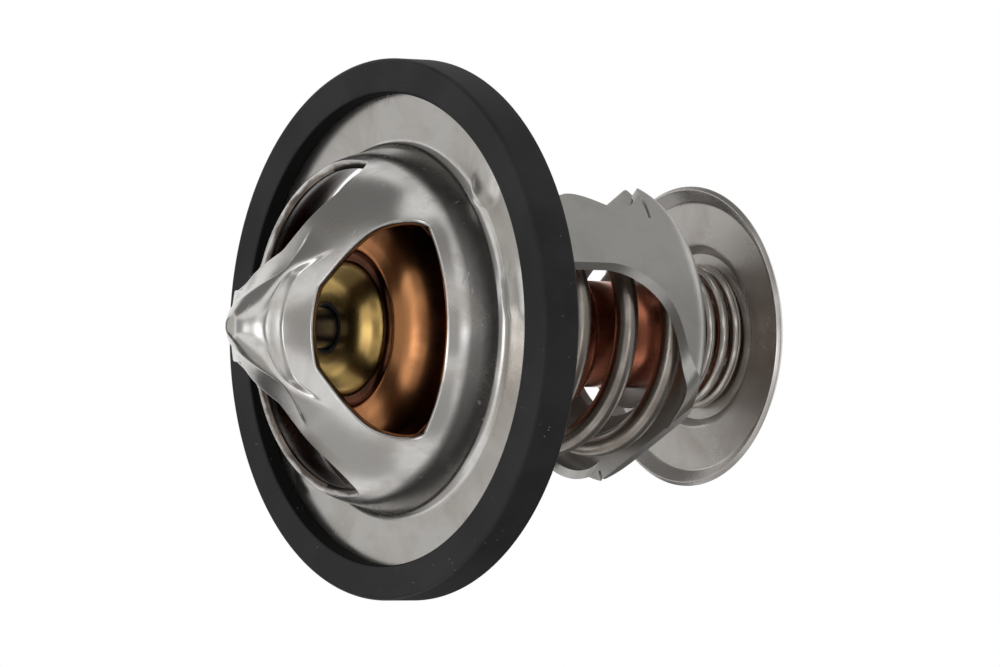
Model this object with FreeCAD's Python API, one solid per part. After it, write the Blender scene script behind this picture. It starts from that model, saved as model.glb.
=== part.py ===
import FreeCAD, Part
import math
import os

os.makedirs("parts", exist_ok=True)

# Engine thermostat, millimetres. Z runs along the axis, from the bypass disc up to the nose.
# The origin is on the axis, halfway up the rubber seal ring. X points at one of the windows.

# Rubber seal ring, gripping the rim of the flange
SEAL_R = 31.0
SEAL_WIDTH = 4.0
SEAL_WALL = 2.0
SEAL_HEIGHT = 5.0
SEAL_EDGE_R = 0.45
SEAL_LIP_R = SEAL_R - SEAL_WIDTH
RIM_GAP = 0.1

# Upper bridge: flange, neck and dome pressed from one sheet
BRIDGE_SHEET = 1.1
RIM_R = SEAL_R - SEAL_WALL
NECK_FOOT_R = 21.1
NECK_TOP_R = 20.0
NECK_HEIGHT = 4.85
NECK_BEND = 1.3
SHOULDER_BEND = 2.5
DOME_R = 16.7
DOME_HEIGHT = 12.1
DOME_BEND = 17.0
DOME_TIP = 20.65

# Raised three-legged nose on the dome
NOSE_HEIGHT = 22.85
NOSE_FLAT_R = 1.2
NOSE_BEND = 2.0
NOSE_SLOPE = 37.5
NOSE_REACH = 14.5
SCALLOP_R = 10.1
SCALLOP_AXIS_R = 14.3
SCALLOP_FOLD = 0.8

# Three windows between three legs
LEG_COUNT = 3
LEG_HALF_WIDTH = 3.5
WINDOW_TOP_R = 7.8
WINDOW_FOOT_R = 19.2
WINDOW_TOP_CORNER = 8.0
WINDOW_FOOT_CORNER = 2.2

# Pressed buttons on the flange: a round pair over the frame's feet and a longer pair beside them
FLANGE_WIDTH = SEAL_LIP_R - NECK_FOOT_R
BUTTON_R = FLANGE_WIDTH * 0.44
BUTTON_HEIGHT = 0.45
BUTTON_ORBIT = NECK_FOOT_R + FLANGE_WIDTH * 0.42
LONG_BUTTON_R = FLANGE_WIDTH * 0.36
LONG_BUTTON_HEIGHT = 0.3
LONG_BUTTON_ORBIT = NECK_FOOT_R + FLANGE_WIDTH * 0.38
LONG_BUTTON_TURN = 7.0
LONG_BUTTON_ANGLE = 11.5

# Lower frame: one strip folded into two legs and a spring plate
FRAME_SHEET = 1.2
FRAME_ANGLE = 44.5
FRAME_FOOT_GAP = 0.7
FRAME_FOOT_R = SEAL_LIP_R - FRAME_FOOT_GAP
FRAME_THROAT_R = 20.6
FRAME_WAIST_R = 16.8
FRAME_DEPTH = 32.1
FRAME_FLARE_TOP = 8.3
FRAME_FLARE_FOOT = 12.0
FRAME_FLARE_BEND = 2.0
FRAME_BEND = 1.0
FRAME_PLATE_BEND = 2.0
FRAME_LEG_HALF = 5.4
FRAME_NECK_HALF = 2.8
FRAME_NECK_HEIGHT = 8.9
FRAME_NECK_START = 15.8
FRAME_SKIRT_SPREAD = 14.9
FRAME_SKIRT_HEIGHT = 4.9
FRAME_SKIRT_START = 14.0
FRAME_TONGUE = 9.2
FRAME_TONGUE_HEIGHT = 3.6
FRAME_SLIT_END = 1.3
FRAME_SLIT = 0.6
FRAME_FLAT_R = 14.3
FRAME_FLAT_TURN = 106.7
FRAME_CORNER = 9.2
FRAME_TRIM_REACH = 12.8
FRAME_HOLE_R = 9.5

# Piston pin, standing still between the nose and the wax
PIN_R = 2.3
PIN_CHAMFER = 0.4
PIN_TIP_R = 0.5
PIN_TIP_RUN = 1.5
PIN_DEPTH = 15.0
SLIDING_GAP = 0.08

# Main valve plate, pressed brass sheet
VALVE_SHEET = 0.9
VALVE_CROWN_R = 12.9
VALVE_CROWN_TOP = 7.8
VALVE_CROWN_EDGE = 6.0
VALVE_CROWN_BEND = 1.4
VALVE_LIP_BEND = 1.1
VALVE_FOOT_BEND = 0.3
VALVE_MOUTH_BEND = 0.4
VALVE_WALL_FOOT_R = 13.2
VALVE_BRIM_TOP = 1.7
VALVE_LIP_DEPTH = 1.3
VALVE_TUBE_FOOT = 0.6
SEAT_GAP = 0.3

# Wax capsule, drawn copper cup with a stepped body
CUP_R = 9.0
CUP_WALL = 0.8
CUP_TOP = 7.7
CUP_STEP_Z = -22.0
CUP_TAIL_R = 6.2
CUP_FOOT_Z = -41.5
CUP_BEND = 1.3
CUP_NECK_BEND = 0.8
CUP_STEP_FALL = 1.6

# Brass guide held in the mouth of the cup
GUIDE_FLANGE_TOP = CUP_TOP - CUP_WALL
GUIDE_FLANGE_HEIGHT = 3.6
GUIDE_R = 7.6
GUIDE_TOP_R = 4.6
GUIDE_TOP_Z = 10.3
GUIDE_SHOULDER_Z = 8.3
GUIDE_STEM_R = 4.4
GUIDE_STEM_Z = 1.2
WIPER_R = 2.9
WIPER_DEPTH = 1.1
WIPER_CHAMFER = 0.15

# Soft parts inside the capsule
BOOT_FLANGE_HEIGHT = 1.2
BOOT_R = 4.4
BOOT_END = 1.6
BOOT_TAPER = 1.2
BOOT_SHOULDER = 2.4
BOOT_STEP = 0.4
BOOT_RUN = 0.3
WASHER_HEIGHT = 0.6

# Bypass spring seat, stem, clip and disc at the tail of the capsule
TAIL_SEAT_WIDTH = 2.4
TAIL_SEAT_R = CUP_TAIL_R + TAIL_SEAT_WIDTH
TAIL_SEAT_HEIGHT = 1.0
TAIL_COLLAR_WALL = 0.25
TAIL_COLLAR_HEIGHT = 2.2
TAIL_SEAT_Z = -33.2
STEM_R = 2.2
STEM_RUN = 0.08
DISC_SHEET = 0.7
DISC_R = 17.7
DISC_RIM_Z = -41.85
DISC_RIM_RUN = 1.7
DISC_RIM_BEND = 1.5
DISC_FACE_Z = -42.75
DISC_POCKET_R = 11.0
DISC_SEAT_R = 10.0
DISC_SEAT_Z = -43.6
DISC_WELL_R = 7.25
DISC_FLOOR_Z = -45.9
DISC_HUB_R = 4.4
DISC_HUB_HEIGHT = 1.3
DISC_BEND = 0.8
CLIP_R = 3.4
CLIP_HEIGHT = 0.6
CLIP_GAP = 0.05
STEM_END = 0.3
GROOVE_DEPTH = 0.5

# Springs: round wire, end turns closed up and ground flat
MAIN_WIRE = 2.7
MAIN_R = 13.0
MAIN_TURNS = 5.2
MAIN_PHASE = 170.0
MAIN_END_TURNS = 0.5
MAIN_END_PITCH = MAIN_WIRE * 0.85
BYPASS_WIRE = 1.25
BYPASS_R = 7.95
BYPASS_TURNS = 4.9
BYPASS_PHASE = 155.0
BYPASS_END_TURNS = 0.5
BYPASS_END_PITCH = BYPASS_WIRE * 1.08
SPRING_GRIND = 0.15
SPRING_STEPS = 12

BIG = 60.0
AXIS = FreeCAD.Vector(0, 0, 1)
ORIGIN = FreeCAD.Vector(0, 0, 0)


def at(radius, height):
    """A point in the half section, given by its radius and height."""
    return FreeCAD.Vector(radius, 0, height)


def bend_edges(points, bends):
    """Straight runs through the points, with a tangent arc of its own radius at each inner one."""
    edges = []
    start = points[0]
    for before, corner, after, radius in zip(points, points[1:], points[2:], bends):
        into = (corner - before).normalize()
        out = (after - corner).normalize()
        half_turn = into.getAngle(out) / 2
        reach = radius * math.tan(half_turn)
        first = corner - into * reach
        last = corner + out * reach
        inward = (out - into).normalize()
        middle = corner + inward * (radius / math.cos(half_turn) - radius)
        edges.append(Part.LineSegment(start, first).toShape())
        edges.append(Part.Arc(first, middle, last).toShape())
        start = last
    edges.append(Part.LineSegment(start, points[-1]).toShape())
    return edges


def side_of(before, after):
    """Unit vector to the right of a run, in the half section."""
    run = (after - before).normalize()
    return FreeCAD.Vector(run.z, 0, -run.x)


def shifted(points, bends, depth):
    """The same folded line, moved to its right by a depth, with every bend about its own centre."""
    moved = [points[0] + side_of(points[0], points[1]) * depth]
    radii = []
    for before, corner, after, radius in zip(points, points[1:], points[2:], bends):
        first = side_of(before, corner)
        second = side_of(corner, after)
        middle = (first + second).normalize()
        moved.append(corner + middle * (depth / middle.dot(first)))
        turns_right = first.cross(second).y > 0
        radii.append(max(radius - depth if turns_right else radius + depth, 0.05))
    moved.append(points[-1] + side_of(points[-2], points[-1]) * depth)
    return moved, radii


def turned(edges):
    """A solid of revolution about the axis, from the edges of a closed half section."""
    face = Part.Face(Part.Wire(Part.__sortEdges__(edges)))
    return face.revolve(ORIGIN, AXIS, 360)


def closed(edges, corners):
    """Edges of a path, closed by straight runs through the corners, from its end to its start."""
    start = edges[0].Vertexes[0].Point
    end = edges[-1].Vertexes[-1].Point
    chain = [end] + corners + [start]
    runs = [Part.LineSegment(a, b).toShape() for a, b in zip(chain, chain[1:])]
    return edges + runs


def pressed_sheet(points, bends, thickness):
    """A round pressing: the folded line is one skin, and the other lies a thickness to its right."""
    skin = bend_edges(points, bends)
    back_points, back_bends = shifted(points, bends, thickness)
    back = bend_edges(back_points, back_bends)
    ends = [
        Part.LineSegment(points[0], back_points[0]).toShape(),
        Part.LineSegment(points[-1], back_points[-1]).toShape(),
    ]
    return turned(skin + ends + back)


def turned_profile(corners):
    """A solid of revolution from a plain polygon of (radius, height) pairs."""
    points = [at(*pair) for pair in corners]
    wire = Part.makePolygon(points + [points[0]])
    return Part.Face(wire).revolve(ORIGIN, AXIS, 360)


def ring(inner, outer, low, high):
    return turned_profile([(inner, low), (outer, low), (outer, high), (inner, high)])


def disc(radius, low, high):
    return Part.makeCylinder(radius, high - low, at(0, low))


def spun(shape, angle):
    copy = shape.copy()
    copy.rotate(ORIGIN, AXIS, angle)
    return copy


def round_copies(shape, count):
    return [spun(shape, 360.0 * i / count) for i in range(count)]


def flange_top():
    return BRIDGE_SHEET / 2


def dome_line():
    """Outer skin of the flange, neck and dome, from the rim to the axis."""
    top = flange_top()
    points = [
        at(RIM_R, top),
        at(NECK_FOOT_R, top),
        at(NECK_TOP_R, top + NECK_HEIGHT),
        at(DOME_R, top + DOME_HEIGHT),
        at(0, top + DOME_TIP),
    ]
    return points, [NECK_BEND, SHOULDER_BEND, DOME_BEND]


def nose_line():
    """Outer skin of the raised nose, from the leg down on the dome to the axis."""
    top = flange_top() + NOSE_HEIGHT
    fall = (NOSE_REACH - NOSE_FLAT_R) * math.tan(math.radians(NOSE_SLOPE))
    return [at(NOSE_REACH, top - fall), at(NOSE_FLAT_R, top), at(0, top)], [NOSE_BEND]


def under_dome(depth):
    """Everything under the dome's skin, at a depth below its outside."""
    points, bends = dome_line()
    if depth:
        points, bends = shifted(points, bends, -depth)
    floor = -flange_top() - (BIG if depth else 0)
    points[-1].x = 0
    return turned(closed(bend_edges(points, bends), [at(0, floor), at(points[0].x, floor)]))


def under_nose(depth):
    """Everything under the raised nose, with its three scallops cut away."""
    points, bends = nose_line()
    if depth:
        points, bends = shifted(points, bends, -depth)
    points[0].x = NOSE_REACH
    floor = flange_top() + NECK_HEIGHT
    cap = turned(closed(bend_edges(points, bends), [at(0, floor), at(NOSE_REACH, floor)]))
    scallop = Part.makeCylinder(SCALLOP_R + depth, BIG, at(SCALLOP_AXIS_R, 0))
    cap = cap.cut(round_copies(scallop, LEG_COUNT))
    if depth:
        return cap
    return cap.makeFillet(SCALLOP_FOLD, scallop_edges(cap))


def scallop_edges(cap):
    """The upper edges of the three scallops, where their walls meet the sloping top."""
    floor = flange_top() + NECK_HEIGHT
    found = []
    for edge in cap.Edges:
        middle = edge.valueAt((edge.FirstParameter + edge.LastParameter) / 2)
        ends = [vertex.Point for vertex in edge.Vertexes]
        on_wall = any(abs(math.hypot(middle.x - SCALLOP_AXIS_R * math.cos(a),
                                     middle.y - SCALLOP_AXIS_R * math.sin(a)) - SCALLOP_R) < 0.01
                      for a in scallop_angles())
        level = len(ends) == 2 and abs(ends[0].x - ends[1].x) + abs(ends[0].y - ends[1].y) < 0.01
        if on_wall and not level and middle.z > floor + 0.5:
            found.append(edge)
    return found


def scallop_angles():
    return [2 * math.pi * i / LEG_COUNT for i in range(LEG_COUNT)]


def window_cutter():
    """The window that faces +X: straight top edge, sides along the two legs, round foot."""
    half = math.pi / LEG_COUNT
    top_half = (WINDOW_TOP_R * math.sin(half) - LEG_HALF_WIDTH) / math.cos(half)
    reach = math.sqrt(WINDOW_FOOT_R ** 2 - LEG_HALF_WIDTH ** 2)
    foot_x = LEG_HALF_WIDTH * math.sin(half) + reach * math.cos(half)
    foot_y = reach * math.sin(half) - LEG_HALF_WIDTH * math.cos(half)
    low = flange_top()
    corners = [
        FreeCAD.Vector(WINDOW_TOP_R, -top_half, low),
        FreeCAD.Vector(foot_x, -foot_y, low),
        FreeCAD.Vector(WINDOW_FOOT_R, 0, low),
        FreeCAD.Vector(foot_x, foot_y, low),
        FreeCAD.Vector(WINDOW_TOP_R, top_half, low),
    ]
    edges = [
        Part.LineSegment(corners[0], corners[1]).toShape(),
        Part.Arc(corners[1], corners[2], corners[3]).toShape(),
        Part.LineSegment(corners[3], corners[4]).toShape(),
        Part.LineSegment(corners[4], corners[0]).toShape(),
    ]
    prism = Part.Face(Part.Wire(edges)).extrude(FreeCAD.Vector(0, 0, BIG))
    uprights = [e for e in prism.Edges if abs(e.Vertexes[0].Point.z - e.Vertexes[-1].Point.z) > 1]
    near = [e for e in uprights if e.Vertexes[0].Point.x < (WINDOW_TOP_R + foot_x) / 2]
    far = [e for e in uprights if e.Vertexes[0].Point.x > (WINDOW_TOP_R + foot_x) / 2]
    prism = prism.makeFillet(WINDOW_FOOT_CORNER, far)
    near = [e for e in prism.Edges if any(e.CenterOfMass.distanceToPoint(n.CenterOfMass) < 0.01
                                          for n in near)]
    return prism.makeFillet(WINDOW_TOP_CORNER, near)


def cap_section(width, height, orbit, depth):
    """Half section of a shallow cap on the flange: its ball radius and its ball centre."""
    ball_r = (width ** 2 + height ** 2) / (2 * height)
    return ball_r, at(orbit, flange_top() - depth + height - ball_r)


def button(depth):
    """A shallow round button on the flange, at a depth below its skin."""
    ball_r, centre = cap_section(BUTTON_R, BUTTON_HEIGHT, BUTTON_ORBIT, depth)
    ball = Part.makeSphere(ball_r, centre)
    keep = Part.makeCylinder(BUTTON_R + 1, BIG, at(BUTTON_ORBIT, flange_top() - depth - 0.2))
    return ball.common(keep)


def long_button(depth):
    """A shallow button drawn out along the flange: a ball cap carried round the axis by its turn."""
    ball_r, centre = cap_section(LONG_BUTTON_R, LONG_BUTTON_HEIGHT, LONG_BUTTON_ORBIT, depth)
    low = flange_top() - depth - 0.2
    reach = math.sqrt(ball_r ** 2 - (low - centre.z) ** 2)
    left = at(centre.x - reach, low)
    right = at(centre.x + reach, low)
    top = at(centre.x, centre.z + ball_r)
    face = Part.Face(Part.Wire([Part.Arc(left, top, right).toShape(),
                                Part.LineSegment(right, left).toShape()]))
    body = face.revolve(ORIGIN, AXIS, LONG_BUTTON_TURN)
    end = Part.makeSphere(ball_r, centre).common(Part.makeCylinder(reach + 0.1, BIG, at(centre.x, low)))
    body = body.fuse([end, spun(end, LONG_BUTTON_TURN)])
    return spun(body, LONG_BUTTON_ANGLE - LONG_BUTTON_TURN / 2)


def buttons(depth):
    made = []
    for half_turn in (0, 180):
        made.append(spun(button(depth), FRAME_ANGLE + half_turn))
        made.append(spun(long_button(depth), half_turn))
    return made


def upper_bridge():
    outside = under_dome(0).fuse(under_nose(0)).fuse(buttons(0))
    inside = under_dome(BRIDGE_SHEET).fuse(under_nose(BRIDGE_SHEET)).fuse(buttons(BRIDGE_SHEET))
    return outside.cut(inside).cut(round_copies(window_cutter(), LEG_COUNT)).removeSplitter()


def seal_ring():
    half = SEAL_HEIGHT / 2
    body = ring(SEAL_LIP_R, SEAL_R, -half, half)
    edges = [e for e in body.Edges if len(e.Vertexes) == 1]
    body = body.makeFillet(SEAL_EDGE_R, edges)
    groove = disc(RIM_R + RIM_GAP, -flange_top(), flange_top())
    return body.cut(groove)


def frame_line():
    """Inner skin of the lower frame, from the tip of a foot down the leg to the plate's hole."""
    foot = -flange_top()
    floor = -FRAME_DEPTH + FRAME_SHEET
    points = [
        at(FRAME_FOOT_R, foot),
        at(FRAME_THROAT_R, foot),
        at(FRAME_THROAT_R, -FRAME_FLARE_TOP),
        at(FRAME_WAIST_R, -FRAME_FLARE_FOOT),
        at(FRAME_WAIST_R, floor),
        at(FRAME_HOLE_R, floor),
    ]
    return points, [FRAME_BEND, FRAME_FLARE_BEND, FRAME_FLARE_BEND, FRAME_PLATE_BEND]


def leg_spot(side, height):
    """A point in the front view of a leg: sideways distance, and height over the plate's underside."""
    return FreeCAD.Vector(0, side, height - FRAME_DEPTH)


def leg_curve(spots):
    curve = Part.BSplineCurve()
    curve.interpolate([leg_spot(*spot) for spot in spots])
    return curve.toShape()


def leg_outline():
    """Front view of one leg: it narrows to a neck, a slit parts it from a tongue of the plate's rim,
    and on its other side it runs out into a low skirt."""
    top = FRAME_DEPTH + 1
    tip = FRAME_TONGUE * 0.65
    flare = [(FRAME_LEG_HALF, FRAME_NECK_START),
             ((FRAME_LEG_HALF + FRAME_NECK_HALF) / 2 + 0.3, FRAME_NECK_HEIGHT + 2.6),
             (FRAME_NECK_HALF, FRAME_NECK_HEIGHT),
             (FRAME_NECK_HALF + 0.8, FRAME_NECK_HEIGHT - 2.0),
             (tip, FRAME_TONGUE_HEIGHT + FRAME_SLIT + 0.1)]
    slit = [flare[-1], (FRAME_SLIT_END, FRAME_TONGUE_HEIGHT + 2.0),
            (FRAME_SLIT_END, FRAME_TONGUE_HEIGHT + 1.7), (tip - 0.1, FRAME_TONGUE_HEIGHT + 0.1)]
    tongue = [slit[-1], (FRAME_TONGUE * 0.8, FRAME_TONGUE_HEIGHT - 0.3),
              (FRAME_TONGUE * 0.92, FRAME_TONGUE_HEIGHT - 1.3), (FRAME_TONGUE, 0)]
    spread = FRAME_SKIRT_SPREAD - FRAME_LEG_HALF
    skirt = [(-FRAME_SKIRT_SPREAD, 0),
             (-FRAME_SKIRT_SPREAD + 0.5, FRAME_SKIRT_HEIGHT - 1.5),
             (-FRAME_SKIRT_SPREAD + spread * 0.33, FRAME_SKIRT_HEIGHT + 0.1),
             (-FRAME_SKIRT_SPREAD + spread * 0.6, FRAME_SKIRT_HEIGHT + 1.7),
             (-FRAME_LEG_HALF - spread * 0.17, FRAME_SKIRT_HEIGHT + 4.2),
             (-FRAME_LEG_HALF, FRAME_SKIRT_START)]
    rim = [tongue[-1], (FRAME_TONGUE, -1), (-FRAME_SKIRT_SPREAD, -1), skirt[0]]
    head = [skirt[-1], (-FRAME_LEG_HALF, top), (FRAME_LEG_HALF, top), flare[0]]
    edges = [leg_curve(flare), leg_curve(tongue), leg_curve(skirt)]
    for run in (slit, rim, head):
        edges += [Part.LineSegment(leg_spot(*a), leg_spot(*b)).toShape() for a, b in zip(run, run[1:])]
    return Part.Wire(Part.__sortEdges__(edges))


def plate_outline():
    """Plan of the spring plate: two arcs below the legs, and two flats between them. Each flat ends
    in a narrow slit, and the first leg's tongue is trimmed."""
    edge = FRAME_WAIST_R + FRAME_SHEET
    keep = disc(edge, -BIG, 0)
    flat = Part.makeBox(BIG, 2 * BIG, 2 * BIG, FreeCAD.Vector(FRAME_FLAT_R, -BIG, -BIG))
    slit = Part.makeBox(BIG, FRAME_SLIT * 0.7, 2 * BIG,
                        FreeCAD.Vector(FRAME_FLAT_R - 1.2, -FRAME_CORNER - FRAME_SLIT * 0.7, -BIG))
    side = FRAME_ANGLE - FRAME_FLAT_TURN
    trim = Part.makeBox(BIG, BIG, 2 * BIG, FreeCAD.Vector(FRAME_TRIM_REACH, FRAME_TONGUE, -BIG))
    cutters = [spun(flat, side), spun(flat, side + 180), spun(slit, side), spun(trim, FRAME_ANGLE)]
    return keep.cut(cutters)


def lower_frame():
    points, bends = frame_line()
    shell = pressed_sheet(points, bends, -FRAME_SHEET)
    wall_low = -FRAME_DEPTH + FRAME_SHEET
    leg = Part.Face(leg_outline()).extrude(FreeCAD.Vector(BIG, 0, 0))
    legs = [spun(leg, FRAME_ANGLE + 180 * i) for i in range(2)]
    walls = shell.common(legs[0].fuse(legs[1])).common(plate_side(wall_low))
    plate = shell.common(disc(BIG, -BIG, wall_low)).common(plate_outline())
    return walls.fuse(plate).removeSplitter()


def plate_side(low):
    """Space above a height, and below it only inside the plate's own outline."""
    return disc(BIG, low, 5).fuse(plate_outline().common(disc(BIG, -BIG, low)))


def nose_ceiling():
    return flange_top() + NOSE_HEIGHT - BRIDGE_SHEET


def pin_end():
    return -PIN_DEPTH


def piston_pin():
    """Round pin with a tapered tip, which fills the hollow of the nose."""
    low = pin_end()
    top = nose_ceiling()
    return turned_profile([
        (0, low), (PIN_R - PIN_CHAMFER, low), (PIN_R, low + PIN_CHAMFER), (PIN_R, top - PIN_TIP_RUN),
        (PIN_TIP_R, top), (0, top)])


def seat_radius(height):
    """Inner radius of the neck at a height above the flange's middle."""
    slope = (NECK_FOOT_R - NECK_TOP_R) / NECK_HEIGHT
    return NECK_FOOT_R - slope * (height - flange_top()) - BRIDGE_SHEET * math.hypot(1, slope)


def brim_radius():
    return seat_radius(VALVE_BRIM_TOP) - SEAT_GAP


def valve_plate():
    """Hat-shaped plate: a brim with its lip turned down, a wall, a sloping crown and a tube."""
    brim = brim_radius()
    points = [
        at(brim, VALVE_BRIM_TOP - VALVE_LIP_DEPTH - VALVE_SHEET),
        at(brim, VALVE_BRIM_TOP),
        at(VALVE_WALL_FOOT_R, VALVE_BRIM_TOP),
        at(VALVE_CROWN_R, VALVE_CROWN_EDGE),
        at(CUP_R, VALVE_CROWN_TOP),
        at(CUP_R, VALVE_TUBE_FOOT),
    ]
    bends = [VALVE_LIP_BEND, VALVE_FOOT_BEND, VALVE_CROWN_BEND, VALVE_MOUTH_BEND]
    return pressed_sheet(points, bends, -VALVE_SHEET)


def capsule_cup():
    points = [
        at(GUIDE_R + 0.1, CUP_TOP),
        at(CUP_R, CUP_TOP),
        at(CUP_R, CUP_STEP_Z),
        at(CUP_TAIL_R, CUP_STEP_Z - CUP_STEP_FALL),
        at(CUP_TAIL_R, CUP_FOOT_Z),
        at(0, CUP_FOOT_Z),
    ]
    return pressed_sheet(points, [CUP_NECK_BEND, CUP_BEND, CUP_NECK_BEND, CUP_BEND], CUP_WALL)


def guide():
    bore = PIN_R + SLIDING_GAP
    low = GUIDE_FLANGE_TOP - GUIDE_FLANGE_HEIGHT
    inside = CUP_R - CUP_WALL
    points = [
        at(inside, low),
        at(inside, GUIDE_FLANGE_TOP),
        at(GUIDE_R, GUIDE_FLANGE_TOP),
        at(GUIDE_R, GUIDE_SHOULDER_Z),
        at(GUIDE_TOP_R + 0.7, GUIDE_TOP_Z),
        at(WIPER_R, GUIDE_TOP_Z),
    ]
    side = bend_edges(points, [0.1, 0.1, 1.6, 1.6])
    mouth = GUIDE_TOP_Z - WIPER_DEPTH
    inner = [at(WIPER_R, mouth), at(bore, mouth), at(bore, GUIDE_STEM_Z),
             at(GUIDE_STEM_R, GUIDE_STEM_Z), at(GUIDE_STEM_R, low)]
    return turned(closed(side, inner))


def wiper_ring():
    body = ring(PIN_R + SLIDING_GAP, WIPER_R, GUIDE_TOP_Z - WIPER_DEPTH, GUIDE_TOP_Z)
    top = [e for e in body.Edges if e.CenterOfMass.z > GUIDE_TOP_Z - 0.01 and len(e.Vertexes) == 1]
    return body.makeChamfer(WIPER_CHAMFER, top)


def backup_washer():
    return ring(PIN_R + SLIDING_GAP, GUIDE_STEM_R, GUIDE_STEM_Z - WASHER_HEIGHT, GUIDE_STEM_Z)


def rubber_boot():
    """Closed rubber sleeve round the pin, clamped by its flange under the guide."""
    top = GUIDE_FLANGE_TOP - GUIDE_FLANGE_HEIGHT
    under = GUIDE_STEM_Z - WASHER_HEIGHT
    bore = PIN_R + SLIDING_GAP
    end = pin_end() - BOOT_RUN
    return turned_profile([
        (CUP_R - CUP_WALL, top), (GUIDE_STEM_R, top), (GUIDE_STEM_R, under), (bore, under),
        (bore, end), (0, end), (0, end - BOOT_END), (BOOT_R - BOOT_TAPER, end - BOOT_END),
        (BOOT_R, under - BOOT_SHOULDER),
        (GUIDE_STEM_R + 1.0, top - BOOT_FLANGE_HEIGHT - BOOT_STEP),
        (CUP_R - CUP_WALL, top - BOOT_FLANGE_HEIGHT)])


def wax_charge():
    """Wax that fills the rest of the cup, round the boot."""
    top = GUIDE_FLANGE_TOP - GUIDE_FLANGE_HEIGHT - BOOT_FLANGE_HEIGHT
    points = [
        at(CUP_R, top), at(CUP_R, CUP_STEP_Z), at(CUP_TAIL_R, CUP_STEP_Z - CUP_STEP_FALL),
        at(CUP_TAIL_R, CUP_FOOT_Z), at(0, CUP_FOOT_Z),
    ]
    inner_points, bends = shifted(points, [CUP_BEND, CUP_NECK_BEND, CUP_BEND], CUP_WALL)
    inner_points[-1].x = 0
    bulk = turned(closed(bend_edges(inner_points, bends), [at(0, inner_points[0].z)]))
    end = pin_end() - BOOT_RUN
    under = GUIDE_STEM_Z - WASHER_HEIGHT
    boot_space = turned_profile([
        (0, BIG), (0, end - BOOT_END), (BOOT_R - BOOT_TAPER, end - BOOT_END),
        (BOOT_R, under - BOOT_SHOULDER), (GUIDE_STEM_R + 1.0, top - BOOT_STEP),
        (CUP_R - CUP_WALL, top), (CUP_R - CUP_WALL, BIG)])
    return bulk.cut(boot_space)


def bypass_spring_seat():
    body = ring(CUP_TAIL_R, TAIL_SEAT_R, TAIL_SEAT_Z - TAIL_SEAT_HEIGHT, TAIL_SEAT_Z)
    collar = ring(CUP_TAIL_R, CUP_TAIL_R + TAIL_COLLAR_WALL, TAIL_SEAT_Z - TAIL_COLLAR_HEIGHT, TAIL_SEAT_Z)
    return body.fuse(collar).removeSplitter()


def hub_top():
    return DISC_FLOOR_Z + DISC_HUB_HEIGHT


def clip_top():
    return hub_top() - DISC_SHEET - CLIP_GAP


def disc_foot():
    return DISC_FLOOR_Z - DISC_SHEET


def bypass_stem():
    groove_top = clip_top()
    end = disc_foot() + STEM_END
    neck = STEM_R - GROOVE_DEPTH
    return turned_profile([
        (0, CUP_FOOT_Z), (STEM_R, CUP_FOOT_Z), (STEM_R, groove_top), (neck, groove_top),
        (neck, groove_top - CLIP_HEIGHT), (STEM_R, groove_top - CLIP_HEIGHT),
        (STEM_R, end + 0.2), (STEM_R - 0.3, end), (0, end)])


def stem_clip():
    """Spring clip in the stem's groove: a flat ring with one open side."""
    top = clip_top()
    body = ring(STEM_R - GROOVE_DEPTH, CLIP_R, top - CLIP_HEIGHT, top)
    gap = Part.makeBox(BIG, 2 * (STEM_R - GROOVE_DEPTH) - 0.6, CLIP_HEIGHT,
                       FreeCAD.Vector(0, -(STEM_R - GROOVE_DEPTH) + 0.3, top - CLIP_HEIGHT))
    return body.cut(gap)


def bypass_disc():
    """Pressed dish: a flared rim, a flat face, a shallow seat for the spring, and a well that clears
    the capsule's tail, with a raised hub."""
    points = [
        at(DISC_R, DISC_RIM_Z),
        at(DISC_R - DISC_RIM_RUN, DISC_FACE_Z - DISC_SHEET),
        at(DISC_POCKET_R, DISC_FACE_Z - DISC_SHEET),
        at(DISC_SEAT_R, DISC_SEAT_Z - DISC_SHEET),
        at(DISC_WELL_R, DISC_SEAT_Z - DISC_SHEET),
        at(DISC_WELL_R, disc_foot()),
        at(DISC_HUB_R, disc_foot()),
        at(DISC_HUB_R - 0.3, hub_top() - DISC_SHEET),
        at(STEM_R + STEM_RUN, hub_top() - DISC_SHEET),
    ]
    bends = [DISC_RIM_BEND, 0.4, DISC_BEND, 0.2, DISC_BEND, 0.35, 0.3]
    return pressed_sheet(points, bends, DISC_SHEET)


def coil_path(radius, heights):
    """Smooth path of a left-hand coil. heights gives the turn and the height where the pitch changes."""
    curve = Part.BSplineCurve()
    spots = []
    for (turn_a, low), (turn_b, high) in zip(heights, heights[1:]):
        steps = max(2, round((turn_b - turn_a) * SPRING_STEPS))
        for i in range(steps):
            share = i / steps
            spots.append((turn_a + (turn_b - turn_a) * share, low + (high - low) * share))
    spots.append(heights[-1])
    points = [FreeCAD.Vector(radius * math.cos(2 * math.pi * t), -radius * math.sin(2 * math.pi * t), z)
              for t, z in spots]
    curve.interpolate(points)
    return Part.Wire([curve.toShape()])


def coil(radius, wire, heights):
    """Round wire swept along a coil, with its ends ground flat."""
    path = coil_path(radius, heights)
    start = path.Edges[0].valueAt(path.Edges[0].FirstParameter)
    along = path.Edges[0].tangentAt(path.Edges[0].FirstParameter)
    section = Part.Wire([Part.Circle(start, along, wire / 2).toShape()])
    sweep = Part.BRepOffsetAPI.MakePipeShell(path)
    sweep.setBiNormalMode(AXIS)
    sweep.add(section)
    sweep.build()
    sweep.makeSolid()
    solid = Part.Solid(sweep.shape())
    low = heights[0][1] - wire * SPRING_GRIND
    high = heights[-1][1] + wire * SPRING_GRIND
    return solid.common(disc(BIG, low, high))


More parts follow.
